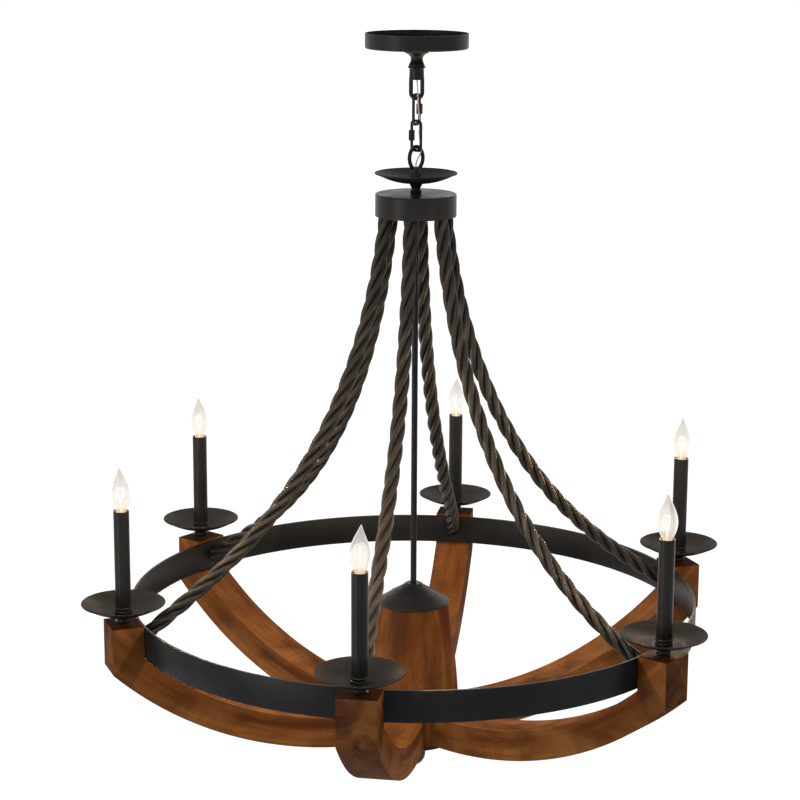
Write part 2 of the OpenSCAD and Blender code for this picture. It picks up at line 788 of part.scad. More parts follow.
module post_cap() {
    t = 1.6;
    r = post_top_r + cap_lip + t;
    boss_r = 15;
    seam_r = 0.65 * r;
    seam_z = 0.42 * cap_h;
    color(iron) translate([0, 0, post_top_z]) rotate_extrude() polygon([
        [rod_r + slip, cap_h], [boss_r - 2, cap_h], [boss_r, cap_h - 1.2], [boss_r + 1, cap_h - 3],
        [seam_r - 1, seam_z], [seam_r, seam_z - 0.2], [seam_r + 1, seam_z - 1.4],
        [r - 9, 2.8], [r - 2.2, -1.4], [r - 0.6, -2.6], [r, -3.8], [r, -cap_skirt],
        [r - t, -cap_skirt], [r - t, -shoulder_h + slip], [post_top_r - shoulder_w, slip],
        [seam_r - 1, seam_z - 2.4], [boss_r, cap_h - 4.5], [rod_r + slip, cap_h - 4.5]
    ]);
}

module base_plate() {
    edge = 2.5;
    color(iron) translate([0, 0, base_z]) rotate_extrude() polygon(concat(
        [[rod_r + slip, base_t]],
        arc_points(post_foot_r - edge, base_t - edge, edge, 90, 0, 5),
        arc_points(post_foot_r - edge, edge, edge, 0, -90, 5),
        [[rod_r + slip, 0]]
    ));
}

module finial() {
    neck_r_top = 12;
    color(iron) difference() {
        union() {
            translate([0, 0, ball_z]) sphere(r = ball_r);
            translate([0, 0, ball_z]) rotate_extrude() polygon([
                [0, ball_r - 3], [9, ball_r - 3], [8, ball_r + 2], [8.5, ball_r + 4],
                [neck_r_top, ball_r + ball_neck_h - 1.5], [neck_r_top, ball_r + ball_neck_h],
                [0, ball_r + ball_neck_h]
            ]);
        }
        bar(rod_r + slip, rod_foot_z - 1, base_z + 1);
    }
}

// ---- Candles ----

module on_candles() {
    on_spokes() translate([candle_x, 0, 0]) children();
}

module candle(k) {
    on_spoke(k) translate([candle_x, 0, 0]) children();
}

module candle_nipples() {
    color(zinc) on_candles()
        tube(tube_r, tube_bore_r, block_top_z - nipple_hole + 1, socket_low_z + socket_seat - 1);
}

module candle_necks() {
    bead = 5;
    bead_z = 6.2;
    foot_r = neck_r - 3.5;
    color(dark_iron) on_candles() translate([0, 0, block_top_z]) rotate_extrude() polygon(concat(
        [[tube_r + slip, 0], [foot_r, 0], [foot_r, 1.2]],
        arc_points(neck_r - bead, bead_z, bead, -65, 65, 10),
        [[foot_r - 0.5, bead_z + 6], [foot_r - 0.5, neck_h - 3], [neck_r - 1, neck_h - 1.2]],
        [[neck_r - 1, neck_h], [tube_r + slip, neck_h]]
    ));
}

module bobeche(k) {
    color(iron) candle(k) translate([0, 0, pan_floor_z])
        spun_dish(pan_r, 16, pan_depth, dish_t, tube_r + slip);
}

module sleeve(k) {
    // Two turned beads round the sleeve's foot
    bead = 1.8;
    low_z = 2.2;
    high_z = 7.6;
    color(dark_iron) candle(k) translate([0, 0, pan_floor_z]) rotate_extrude() polygon(concat(
        [[sleeve_r - sleeve_wall, 0], [sleeve_r + 0.4, 0]],
        arc_points(sleeve_r + 0.1, low_z, bead, -65, 75, 6),
        arc_points(sleeve_r - 0.6, high_z, bead, -60, 60, 6),
        [[sleeve_r, high_z + 2.2], [sleeve_r, sleeve_h], [sleeve_r - sleeve_wall, sleeve_h]]
    ));
}

module lamp_sockets() {
    color(phenolic) on_candles() difference() {
        union() {
            bar(socket_r, glass_z - base_h - 8, socket_top_z);
            bar(socket_r - 2, socket_low_z, socket_top_z - 1);
        }
        bar(base_r + running, glass_z - base_h - 2, socket_top_z + 1);
        bar(tube_r + slip, socket_low_z - 1, socket_low_z + socket_seat);
    }
}

// Outline of the glass as [share of its height, share of its radius]
flame = [
    [0, 0.42], [0.06, 0.5], [0.14, 0.68], [0.24, 0.88], [0.34, 0.98], [0.42, 1],
    [0.5, 0.965], [0.6, 0.85], [0.7, 0.67], [0.8, 0.46], [0.88, 0.28], [0.94, 0.16], [0.98, 0.08]
];

module bulb(k) {
    fill_z = 0.47 * glass_h;
    color(glass) candle(k) translate([0, 0, glass_z]) union() {
        // Hollow glass, with its tip drawn to a point
        rotate_extrude() polygon(concat(
            [[0, 0]],
            [for (f = flame) [f[1] * bulb_r, f[0] * glass_h]],
            [[0, glass_h], [0, glass_h - 4]],
            [for (i = [len(flame) - 2 : -1 : 0])
                [flame[i][1] * bulb_r - glass_t, max(flame[i][0] * glass_h, glass_t)]],
            [[0, glass_t]]
        ));
        // Screw base and its centre contact
        bar(base_r, -base_h, 0.2);
        bar(base_r / 2, -base_h - 0.8, -base_h + 0.2);
        // Glass stem and the two wires that hold the filament
        cylinder(r1 = 3.2, r2 = 1.2, h = 0.3 * glass_h);
        for (s = [-1, 1]) translate([s * 0.8, 0, 0]) bar(0.35, 0.28 * glass_h, fill_z);
        translate([-0.9, 0, fill_z]) bar_x(0.35, 0, 1.8);
    }
}

// ---- Drawing ----

canopy();
crossbar();
ground_screw();
canopy_nipple();
nipple_nut();
collar_ring();
canopy_loop();
upper_link();
upper_link_nut();
lower_link();
lower_link_nut();
lamp_cord();
hub_eye();
hub_dish();
hub_spacer();
hub_drum();
hub_floor();
hub_nuts();
rope_nuts();
rod();
ring();
ring_studs();
arm_dowels();
centre_post();
post_cap();
base_plate();
finial();
candle_nipples();
candle_necks();
lamp_sockets();
rope(1);  // rope_1
rope(2);  // rope_2
rope(3);  // rope_3
rope(4);  // rope_4
rope(5);  // rope_5
rope(6);  // rope_6
arm(1);  // arm_1
arm(2);  // arm_2
arm(3);  // arm_3
arm(4);  // arm_4
arm(5);  // arm_5
arm(6);  // arm_6
bobeche(1);  // bobeche_1
bobeche(2);  // bobeche_2
bobeche(3);  // bobeche_3
bobeche(4);  // bobeche_4
bobeche(5);  // bobeche_5
bobeche(6);  // bobeche_6
sleeve(1);  // sleeve_1
sleeve(2);  // sleeve_2
sleeve(3);  // sleeve_3
sleeve(4);  // sleeve_4
sleeve(5);  // sleeve_5
sleeve(6);  // sleeve_6
bulb(1);  // bulb_1
bulb(2);  // bulb_2
bulb(3);  // bulb_3
bulb(4);  // bulb_4
bulb(5);  // bulb_5
bulb(6);  // bulb_6
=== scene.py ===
"""A wagon wheel chandelier: materials, twisted arms, bulbs and lamp cord around the fixed frame."""

import json
import math

import bmesh
import bpy
from mathutils import Matrix, Vector


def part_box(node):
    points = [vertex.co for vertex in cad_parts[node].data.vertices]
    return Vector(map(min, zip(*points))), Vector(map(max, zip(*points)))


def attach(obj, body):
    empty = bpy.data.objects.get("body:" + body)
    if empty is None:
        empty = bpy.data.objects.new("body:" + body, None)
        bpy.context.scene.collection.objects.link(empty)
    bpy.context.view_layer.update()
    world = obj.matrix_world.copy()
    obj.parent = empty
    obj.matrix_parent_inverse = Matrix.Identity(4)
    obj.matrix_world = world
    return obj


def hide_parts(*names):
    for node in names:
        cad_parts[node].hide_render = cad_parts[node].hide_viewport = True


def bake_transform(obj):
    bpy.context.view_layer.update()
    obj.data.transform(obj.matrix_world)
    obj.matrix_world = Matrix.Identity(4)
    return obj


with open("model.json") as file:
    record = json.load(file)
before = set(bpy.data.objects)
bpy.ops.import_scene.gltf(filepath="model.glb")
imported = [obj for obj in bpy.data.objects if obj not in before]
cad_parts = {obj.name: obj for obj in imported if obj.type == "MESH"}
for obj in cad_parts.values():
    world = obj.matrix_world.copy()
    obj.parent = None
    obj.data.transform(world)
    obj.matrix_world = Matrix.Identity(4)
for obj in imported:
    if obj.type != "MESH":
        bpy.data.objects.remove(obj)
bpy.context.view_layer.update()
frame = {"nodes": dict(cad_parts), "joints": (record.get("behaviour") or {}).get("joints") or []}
nodes = frame["nodes"]

MM = 0.001
SPOKES = range(1, 7)


def spoke_turn(k):
    """Direction of spoke k about Z, in degrees. Spoke 1 points along -Y."""
    return -90 - 60 * (k - 1)


def on_spoke(k):
    """Matrix that turns local +X to the direction of spoke k."""
    return Matrix.Rotation(math.radians(spoke_turn(k)), 4, "Z")


# ---- Camera, light and stage ----

CAMERA_TURN = 9.383
CAMERA_PITCH = 13.07
CAMERA_ROLL = 0.28
CAMERA_PLACE = (-0.0243, -3.6163, 0.2359)
CAMERA_LENS = 100.46
# Low enough that a camera which looks up at the object still stands above the floor
FLOOR_Z = -7.0
FLOOR_SIZE = 240
FLOOR_TONE = (0.6, 0.6, 0.6, 1)
FLOOR_GLOW = 1.3
FLOOR_GLOW_SHARE = 0.8
WORLD_LIGHT = 0.42
LIGHT_AIM = (0, 0, -0.7)


def make_camera():
    data = bpy.data.cameras.new("camera")
    data.lens = CAMERA_LENS
    data.sensor_width = 36
    data.clip_end = 300
    camera = bpy.data.objects.new("camera", data)
    bpy.context.scene.collection.objects.link(camera)
    around = Matrix.Rotation(math.radians(CAMERA_TURN), 4, "Z")
    tilt = Matrix.Rotation(math.radians(90 - CAMERA_PITCH), 4, "X")
    roll = Matrix.Rotation(math.radians(CAMERA_ROLL), 4, "Z")
    camera.matrix_world = around @ Matrix.Translation(CAMERA_PLACE) @ tilt @ roll
    bpy.context.scene.camera = camera


def soft_light(name, place, power, size, colour=(1, 1, 1)):
    """Area light of that width and height, turned to the middle of the object."""
    data = bpy.data.lights.new(name, "AREA")
    data.energy = power
    data.color = colour
    data.shape = "RECTANGLE"
    data.size, data.size_y = size
    light = bpy.data.objects.new(name, data)
    light.matrix_world = Matrix.Translation(place) @ (
        (Vector(LIGHT_AIM) - Vector(place)).to_track_quat("-Z", "Y").to_matrix().to_4x4()
    )
    bpy.context.scene.collection.objects.link(light)


def sees_background(tree):
    """1 for camera, glossy and transmission rays, 0 for the rays that light the object."""
    path = tree.nodes.new("ShaderNodeLightPath")
    highest = path.outputs["Is Camera Ray"]
    for ray in ("Is Glossy Ray", "Is Transmission Ray"):
        step = tree.nodes.new("ShaderNodeMath")
        step.operation = "MAXIMUM"
        tree.links.new(highest, step.inputs[0])
        tree.links.new(path.outputs[ray], step.inputs[1])
        highest = step.outputs[0]
    return highest


def make_world():
    world = bpy.data.worlds.new("studio")
    bpy.context.scene.world = world
    world.use_nodes = True
    tree = world.node_tree
    tree.nodes.clear()
    lit = tree.nodes.new("ShaderNodeBackground")
    lit.inputs["Color"].default_value = (1, 1, 1, 1)
    lit.inputs["Strength"].default_value = WORLD_LIGHT
    seen = tree.nodes.new("ShaderNodeBackground")
    seen.inputs["Color"].default_value = (1, 1, 1, 1)
    seen.inputs["Strength"].default_value = 1.0
    mix = tree.nodes.new("ShaderNodeMixShader")
    out = tree.nodes.new("ShaderNodeOutputWorld")
    tree.links.new(sees_background(tree), mix.inputs[0])
    tree.links.new(lit.outputs[0], mix.inputs[1])
    tree.links.new(seen.outputs[0], mix.inputs[2])
    tree.links.new(mix.outputs[0], out.inputs["Surface"])


def make_floor():
    """Pale floor. Part of it stays diffuse, so that it keeps the object's shadow."""
    bpy.ops.mesh.primitive_plane_add(size=FLOOR_SIZE, location=(0, 0, FLOOR_Z))
    floor = bpy.context.object
    floor.name = "floor"
    material = bpy.data.materials.new("floor")
    material.use_nodes = True
    tree = material.node_tree
    tree.nodes.clear()
    diffuse = tree.nodes.new("ShaderNodeBsdfDiffuse")
    diffuse.inputs["Color"].default_value = FLOOR_TONE
    white = tree.nodes.new("ShaderNodeEmission")
    white.inputs["Strength"].default_value = FLOOR_GLOW
    share = tree.nodes.new("ShaderNodeMath")
    share.operation = "MULTIPLY"
    share.inputs[1].default_value = FLOOR_GLOW_SHARE
    mix = tree.nodes.new("ShaderNodeMixShader")
    out = tree.nodes.new("ShaderNodeOutputMaterial")
    tree.links.new(sees_background(tree), share.inputs[0])
    tree.links.new(share.outputs[0], mix.inputs[0])
    tree.links.new(diffuse.outputs[0], mix.inputs[1])
    tree.links.new(white.outputs[0], mix.inputs[2])
    tree.links.new(mix.outputs[0], out.inputs["Surface"])
    floor.data.materials.append(material)


# ---- Material tools ----


class Shader:
    """A material with one Principled shader, and short calls for the nodes that feed it."""

    def __init__(self, name):
        self.material = bpy.data.materials.new(name)
        self.material.use_nodes = True
        self.tree = self.material.node_tree
        self.bsdf = self.tree.nodes["Principled BSDF"]
        self.coords = self.tree.nodes.new("ShaderNodeTexCoord")

    def set(self, **values):
        for name, value in values.items():
            self.bsdf.inputs[name.replace("_", " ")].default_value = value
        return self

    def feed(self, name, socket):
        self.tree.links.new(socket, self.bsdf.inputs[name])

    def node(self, kind, *inputs, **settings):
        made = self.tree.nodes.new(kind)
        for name, value in settings.items():
            setattr(made, name, value)
        for place, value in inputs:
            if isinstance(value, bpy.types.NodeSocket):
                self.tree.links.new(value, made.inputs[place])
            else:
                made.inputs[place].default_value = value
        return made

    def place(self, scale=(1, 1, 1), turn=(0, 0, 0)):
        """Object coordinates, turned first and then scaled."""
        turned = self.node("ShaderNodeMapping", (0, self.coords.outputs["Object"]), ("Rotation", turn))
        return self.node("ShaderNodeMapping", (0, turned.outputs[0]), ("Scale", scale)).outputs[0]

    def noise(self, where, scale, detail=3.0, distortion=0.0):
        made = self.node(
            "ShaderNodeTexNoise", ("Vector", where), ("Scale", scale),
            ("Detail", detail), ("Distortion", distortion),
        )
        return made.outputs[0]

    def ramp(self, factor, *stops):
        made = self.node("ShaderNodeValToRGB", (0, factor))
        ramp = made.color_ramp
        while len(ramp.elements) < len(stops):
            ramp.elements.new(0.5)
        for element, (place, colour) in zip(ramp.elements, stops):
            element.position = place
            element.color = (*colour, 1)
        return made.outputs[0]

    def mix(self, factor, a, b):
        made = self.node("ShaderNodeMix", data_type="RGBA")
        for place, value in ((0, factor), (6, a), (7, b)):
            if isinstance(value, bpy.types.NodeSocket):
                self.tree.links.new(value, made.inputs[place])
            else:
                made.inputs[place].default_value = value if place == 0 else (*value, 1)
        return made.outputs[2]

    def math(self, operation, a, b=0.0):
        return self.node("ShaderNodeMath", (0, a), (1, b), operation=operation).outputs[0]

    def span(self, factor, low, high, start=0.0, end=1.0):
        made = self.node(
            "ShaderNodeMapRange", (0, factor), (1, start), (2, end), (3, low), (4, high)
        )
        return made.outputs[0]

    def bump(self, height, distance):
        made = self.node(
            "ShaderNodeBump", ("Height", height), ("Distance", distance), ("Strength", 1.0)
        )
        self.feed("Normal", made.outputs[0])


IRON_TONE = (0.0105, 0.0101, 0.0098)
IRON_ROUGH = (0.3, 0.44)
ORANGE_PEEL = 0.00006


def painted_iron(name, colour=IRON_TONE, rough=IRON_ROUGH, grain=1.0, level=0.14, coat=0.0):
    """Satin black paint over steel: cloudy tone and fine orange peel.

    What is seen at a low angle has a thin coat instead of a specular level, so that it stays dark.
    """
    s = Shader(name)
    where = s.place()
    cloud = s.noise(where, 14, 4)
    darker = tuple(c * 0.7 for c in colour)
    lighter = tuple(c * 1.5 for c in colour)
    s.feed("Base Color", s.ramp(cloud, (0.3, darker), (0.72, lighter)))
    s.feed("Roughness", s.span(s.noise(where, 45, 3), rough[0], rough[1], 0.3, 0.7))
    s.bump(s.noise(where, 900, 2), ORANGE_PEEL * grain)
    s.set(Specular_IOR_Level=level, Coat_Weight=coat, Coat_Roughness=0.3)
    return s.material


def twisted_iron(name):
    """Forged strands: black in the valleys, brown on the crests as rub and painted highlight, drawn lines
    along each that carry that painted highlight.
    """
    s = Shader(name)
    crest = s.node("ShaderNodeAttribute", attribute_name="crest").outputs["Fac"]
    strand = s.node("ShaderNodeMapping", (0, s.coords.outputs["UV"]), ("Scale", (22, 0.8, 1))).outputs[0]
    lines = s.noise(strand, 1.0, 5)
    cloud = s.noise(s.place(), 22, 4)
    # Brown on the crests, broken into thin lines: partly rub, partly painted highlight
    rub_and_painted_highlight = s.math("MULTIPLY", s.span(crest, 0.0, 1.0, 0.35, 0.95), s.span(cloud, 0.15, 1.0, 0.35, 0.68))
    rub_and_painted_highlight = s.math("MULTIPLY", rub_and_painted_highlight, s.span(lines, 0.12, 1.0, 0.46, 0.64))
    s.feed("Base Color", s.mix(rub_and_painted_highlight, (0.0115, 0.0104, 0.0092), (0.1, 0.083, 0.065)))
    s.feed("Roughness", s.span(lines, 0.34, 0.52, 0.3, 0.7))
    s.bump(lines, 0.0005)
    s.set(Specular_IOR_Level=0.16)
    return s.material


# Centre and middle radius of a spoke's arc, in the plane of the spoke
ARC_X = 0.093
ARC_Z = -0.5619
ARC_MIDDLE_R = 0.6012
# Beyond this distance from the axis, a level face is the top of a candle block, which gets painted shade
BLOCK_START = 0.455
BLOCK_EDGE = 0.01


def bent_grain(s, turn):
    """Coordinates along, across and through a spoke, which follow its arc."""
    local = s.node("ShaderNodeSeparateXYZ", (0, s.place(turn=(0, 0, -math.radians(turn))))).outputs
    out = s.math("SUBTRACT", local[0], ARC_X)
    down = s.math("SUBTRACT", ARC_Z, local[2])
    bent = s.math("MAXIMUM", out, 0.0)
    straight = s.math("MINIMUM", out, 0.0)
    angle = s.math("ARCTAN2", bent, down)
    radius = s.math("SQRT", s.math("ADD", s.math("MULTIPLY", bent, bent), s.math("MULTIPLY", down, down)))
    along = s.math("ADD", s.math("MULTIPLY", angle, ARC_MIDDLE_R), straight)
    depth = s.math("SUBTRACT", radius, ARC_MIDDLE_R)
    return s.node("ShaderNodeCombineXYZ", (0, along), (1, local[1]), (2, depth)).outputs[0]


def stained_wood(name, turn=0.0, upright=False):
    """Stained maple: blotchy, with calm grain and a fine cross curl. The ends drink more stain. The level
    tops of the candle blocks are darkened as painted shade.
    """
    s = Shader(name)
    to_grain = (0, math.radians(90), 0) if upright else (0, 0, -math.radians(turn))
    grain = s.place(turn=to_grain) if upright else bent_grain(s, turn)

    def scaled(*scale):
        return s.node("ShaderNodeMapping", (0, grain), ("Scale", scale)).outputs[0]

    streaks = s.noise(scaled(1.6, 40, 40), 1.0, 5, 0.3)
    growth = s.ramp(
        streaks, (0.34, (0.09, 0.029, 0.0085)), (0.5, (0.17, 0.064, 0.0175)), (0.68, (0.25, 0.104, 0.031)),
    )
    blotch = s.noise(scaled(5, 11, 11), 1.0, 5, 0.9)
    stained = s.mix(s.span(blotch, 0.0, 0.85, 0.42, 0.64), growth, (0.066, 0.0215, 0.0072))
    lit = s.noise(scaled(7, 12, 12), 0.8, 3, 0.4)
    warm = s.mix(s.span(lit, 0.0, 0.6, 0.5, 0.68), stained, (0.28, 0.124, 0.04))
    curl = s.noise(scaled(190, 12, 12), 1.0, 2)
    curled = s.mix(s.span(curl, 0.0, 0.17, 0.46, 0.64), warm, (0.078, 0.026, 0.008))
    fibres = s.noise(scaled(16, 420, 420), 1.0, 3)
    fibred = s.mix(s.span(fibres, 0.0, 0.35, 0.44, 0.72), curled, (0.06, 0.019, 0.0055))
    facing = s.node("ShaderNodeMapping", (0, s.coords.outputs["Normal"]), ("Rotation", to_grain)).outputs[0]
    across = s.node("ShaderNodeSeparateXYZ", (0, facing)).outputs[0]
    end_grain = s.math("POWER", s.math("ABSOLUTE", across), 3.0)
    if not upright:
        out = s.node("ShaderNodeSeparateXYZ", (0, s.place(turn=to_grain))).outputs[0]
        up = s.math("MAXIMUM", s.node("ShaderNodeSeparateXYZ", (0, facing)).outputs[2], 0.0)
        # Painted shade: the level tops of the candle blocks are darkened to a near black brown
        in_block = s.span(out, 0.0, 1.0, BLOCK_START, BLOCK_START + BLOCK_EDGE)
        block_top_painted_shade = s.math("MULTIPLY", in_block, s.math("POWER", up, 6.0))
        fibred = s.mix(s.math("MULTIPLY", block_top_painted_shade, 0.82), fibred, (0.03, 0.0125, 0.0065))
    mottle = s.noise(s.place(), 26, 5, 0.8)
    end_tone = s.ramp(
        mottle, (0.36, (0.06, 0.021, 0.0105)), (0.5, (0.125, 0.044, 0.0175)), (0.66, (0.215, 0.083, 0.027)),
    )
    s.feed("Base Color", s.mix(s.math("MULTIPLY", end_grain, 0.94), fibred, end_tone))
    s.feed("Roughness", s.span(fibres, 0.48, 0.62, 0.3, 0.7))
    s.bump(fibres, 0.00004)
    s.set(Specular_IOR_Level=0.0, Coat_Weight=0.06, Coat_Roughness=0.35)
    return s.material


def zinc_plate():
    s = Shader("zinc")
    tone = s.noise(s.place(), 60, 3)
    s.feed("Base Color", s.ramp(tone, (0.3, (0.48, 0.49, 0.5)), (0.7, (0.62, 0.63, 0.65))))
    s.feed("Roughness", s.span(tone, 0.3, 0.45))
    return s.set(Metallic=1.0).material


def painted_shade_plate():
    """Hardware inside the canopy, made near black as painted shade in place of its zinc."""
    s = Shader("painted_shade_plate")
    tone = s.noise(s.place(), 60, 3)
    s.feed("Base Color", s.ramp(tone, (0.3, (0.012, 0.012, 0.012)), (0.7, (0.022, 0.022, 0.021))))
    s.feed("Roughness", s.span(tone, 0.4, 0.55))
    return s.set(Specular_IOR_Level=0.0).material


def soft_brass():
    s = Shader("brass")
    tone = s.noise(s.place(), 300, 3)
    s.feed("Base Color", s.ramp(tone, (0.3, (0.62, 0.42, 0.16)), (0.7, (0.75, 0.55, 0.25))))
    s.feed("Roughness", s.span(tone, 0.22, 0.38))
    return s.set(Metallic=1.0).material


def moulded(name, colour, rough):
    s = Shader(name)
    tone = s.noise(s.place(), 120, 3)
    darker = tuple(c * 0.8 for c in colour)
    lighter = tuple(c * 1.2 for c in colour)
    s.feed("Base Color", s.ramp(tone, (0.3, darker), (0.7, lighter)))
    s.bump(s.noise(s.place(), 700, 2), 0.00006)
    return s.set(Roughness=rough).material


def plain_wood():
    s = Shader("dowel_wood")
    streak = s.noise(s.place(scale=(30, 30, 400)), 1.0, 3)
    s.feed("Base Color", s.ramp(streak, (0.3, (0.5, 0.33, 0.17)), (0.7, (0.62, 0.44, 0.25))))
    return s.set(Roughness=0.6).material


def bulb_glass(foot_z, tall):
    """Thin smoky glass, lit from inside: near white round the filament, with a painted gold glint at its
    foot.
    """
    s = Shader("bulb_glass")
    height = s.node("ShaderNodeSeparateXYZ", (0, s.place())).outputs[2]
    share = s.span(height, 0.0, 1.0, foot_z, foot_z + tall)
    # Emission by height: the lamp's glow, and a painted gold glint at the foot
    s.feed("Emission Color", s.ramp(
        share, (0.0, (1.0, 0.62, 0.3)), (0.1, (1.0, 0.82, 0.6)), (0.26, (1.0, 0.95, 0.91)),
        (0.45, (0.97, 0.94, 0.91)), (0.72, (0.72, 0.69, 0.655)), (1.0, (0.6, 0.55, 0.49)),
    ))
    cloud = s.noise(s.place(), 60, 2)
    clear_tone = s.ramp(cloud, (0.3, (0.43, 0.415, 0.395)), (0.7, (0.5, 0.485, 0.465)))
    edge = s.node("ShaderNodeLayerWeight", ("Blend", 0.35)).outputs["Facing"]
    s.feed("Base Color", s.mix(s.span(edge, 0.0, 0.8, 0.45, 0.95), clear_tone, (0.14, 0.125, 0.11)))
    s.set(Roughness=0.02, IOR=1.3, Emission_Strength=0.3)
    s.bsdf.inputs["Transmission Weight"].default_value = 1.0
    path = s.tree.nodes.new("ShaderNodeLightPath")
    clear = s.tree.nodes.new("ShaderNodeBsdfTransparent")
    choose = s.tree.nodes.new("ShaderNodeMixShader")
    out = s.tree.nodes["Material Output"]
    s.tree.links.new(path.outputs["Is Shadow Ray"], choose.inputs[0])
    s.tree.links.new(s.bsdf.outputs[0], choose.inputs[1])
    s.tree.links.new(clear.outputs[0], choose.inputs[2])
    s.tree.links.new(choose.outputs[0], out.inputs["Surface"])
    s.bump(s.noise(s.place(), 40, 1), 0.0002)
    return s.material


def glowing(name, colour, strength):
    s = Shader(name)
    tone = s.noise(s.place(), 500, 2)
    s.feed("Base Color", s.ramp(tone, (0.3, (0.9, 0.6, 0.3)), (0.7, (1, 0.8, 0.5))))
    return s.set(Emission_Color=(*colour, 1), Emission_Strength=strength).material


def cord_skin():
    """Clear insulation over copper strands."""
    s = Shader("cord")
    strand = s.noise(s.place(scale=(500, 500, 90)), 1.0, 2)
    s.feed("Base Color", s.ramp(strand, (0.35, (0.46, 0.36, 0.3)), (0.65, (0.68, 0.62, 0.57))))
    s.bump(strand, 0.0001)
    return s.set(Roughness=0.25, Coat_Weight=0.6, Coat_Roughness=0.1).material


# ---- Mesh tools ----


def new_piece(name, mesh, material, body, sharp=40):
    piece = bpy.data.objects.new(name, mesh)
    bpy.context.scene.collection.objects.link(piece)
    mesh.materials.append(material)
    mesh.shade_smooth()
    mesh.set_sharp_from_angle(angle=math.radians(sharp))
    if body:
        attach(piece, body)
    return piece


def mesh_from(name, points, faces):
    mesh = bpy.data.meshes.new(name)
    mesh.from_pydata([tuple(p) for p in points], [], faces)
    mesh.update()
    return mesh


def ring_faces(rings, sides, closed=False):
    """Quads between rings of points, with an n-gon at each end unless the rings close."""
    faces = []
    for i in range(rings if closed else rings - 1):
        here = i * sides
        there = (i + 1) % rings * sides
        for j in range(sides):
            k = (j + 1) % sides
            faces.append((here + j, here + k, there + k, there + j))
    if not closed:
        faces.append(tuple(reversed(range(sides))))
        faces.append(tuple(range((rings - 1) * sides, rings * sides)))
    return faces


def lathe(name, outline, sides=48, closed=False, place=Matrix.Identity(4), bend=None):
    """Turns an outline of (radius, height) about Z. bend moves each point after that."""
    points = []
    for r, z in outline:
        for j in range(sides):
            a = 2 * math.pi * j / sides
            p = Vector((r * math.cos(a), r * math.sin(a), z))
            points.append(place @ (bend(p) if bend else p))
    return mesh_from(name, points, ring_faces(len(outline), sides, closed))


def smooth_between(p, steps):
    """Catmull-Rom points through a list of points of any size."""
    made = []
    for i in range(len(p) - 1):
        a, b, c, d = p[max(i - 1, 0)], p[i], p[i + 1], p[min(i + 2, len(p) - 1)]
        for s in range(steps):
            t = s / steps
            made.append(
                0.5 * (2 * b + (c - a) * t + (2 * a - 5 * b + 4 * c - d) * t * t
                       + (3 * b - a - 3 * c + d) * t ** 3)
            )
    made.append(p[-1])
    return made


def tube_along(name, route, radius, sides=12):
    """Round tube along points, its rings carried along without twist."""
    points = []
    side = Vector((1, 0, 0))
    for i, p in enumerate(route):
        along = (route[min(i + 1, len(route) - 1)] - route[max(i - 1, 0)]).normalized()
        side = (side - along * side.dot(along)).normalized()
        other = along.cross(side)
        for j in range(sides):
            a = 2 * math.pi * j / sides
            points.append(p + radius * (math.cos(a) * side + math.sin(a) * other))
    return mesh_from(name, points, ring_faces(len(route), sides))


# ---- Twisted arms ----

STRANDS = 4
STRAND_R = 5.1 * MM
STRAND_RING = 7.1 * MM
ROPE_LAY = 0.154
ROPE_TOP = 51.6 * MM
ROPE_PULL_DOWN = 0.450
ROPE_PULL_OUT = 52.5 * MM
ROPE_PULL_IN = 0.126
ROPE_PULL_UP = 82.5 * MM
ROPE_LEAN = 26 * MM
ROPE_STEPS = 280
WALK_STEPS = 600
LOBE_POINTS = 14
GRAIN_PER_METRE = 20


def bezier(c, t):
    u = 1 - t
    return u ** 3 * c[0] + 3 * u * u * t * c[1] + 3 * u * t * t * c[2] + t ** 3 * c[3]


def bezier_slope(c, t):
    u = 1 - t
    return (u * u * (c[1] - c[0]) + 2 * u * t * (c[2] - c[1]) + t * t * (c[3] - c[2])).normalized()


def even_places(corners):
    """(place on the curve, distance along it) at even steps."""
    walk = [bezier(corners, i / WALK_STEPS) for i in range(WALK_STEPS + 1)]
    runs = [0.0]
    for a, b in zip(walk, walk[1:]):
        runs.append(runs[-1] + (b - a).length)
    places = []
    i = 0
    for step in range(ROPE_STEPS + 1):
        run = runs[-1] * step / ROPE_STEPS
        while i < WALK_STEPS - 1 and runs[i + 1] < run:
            i += 1
        share = (run - runs[i]) / (runs[i + 1] - runs[i])
        places.append((min(1.0, (i + share) / WALK_STEPS), run))
    return places


def strand_outline():
    """(angle, radius, crest) round the bundle, in even steps round each strand's own circle."""
    half = math.pi / STRANDS
    meet = half + math.pi / 2 - math.acos(STRAND_RING * math.sin(half) / STRAND_R)
    outline = []
    for k in range(STRANDS):
        for j in range(LOBE_POINTS):
            b = meet * (2 * j / LOBE_POINTS - 1)
            x = STRAND_RING + STRAND_R * math.cos(b)
            y = STRAND_R * math.sin(b)
            outline.append((math.atan2(y, x) + 2 * half * k, math.hypot(x, y), 1 - abs(b) / meet))
    return outline


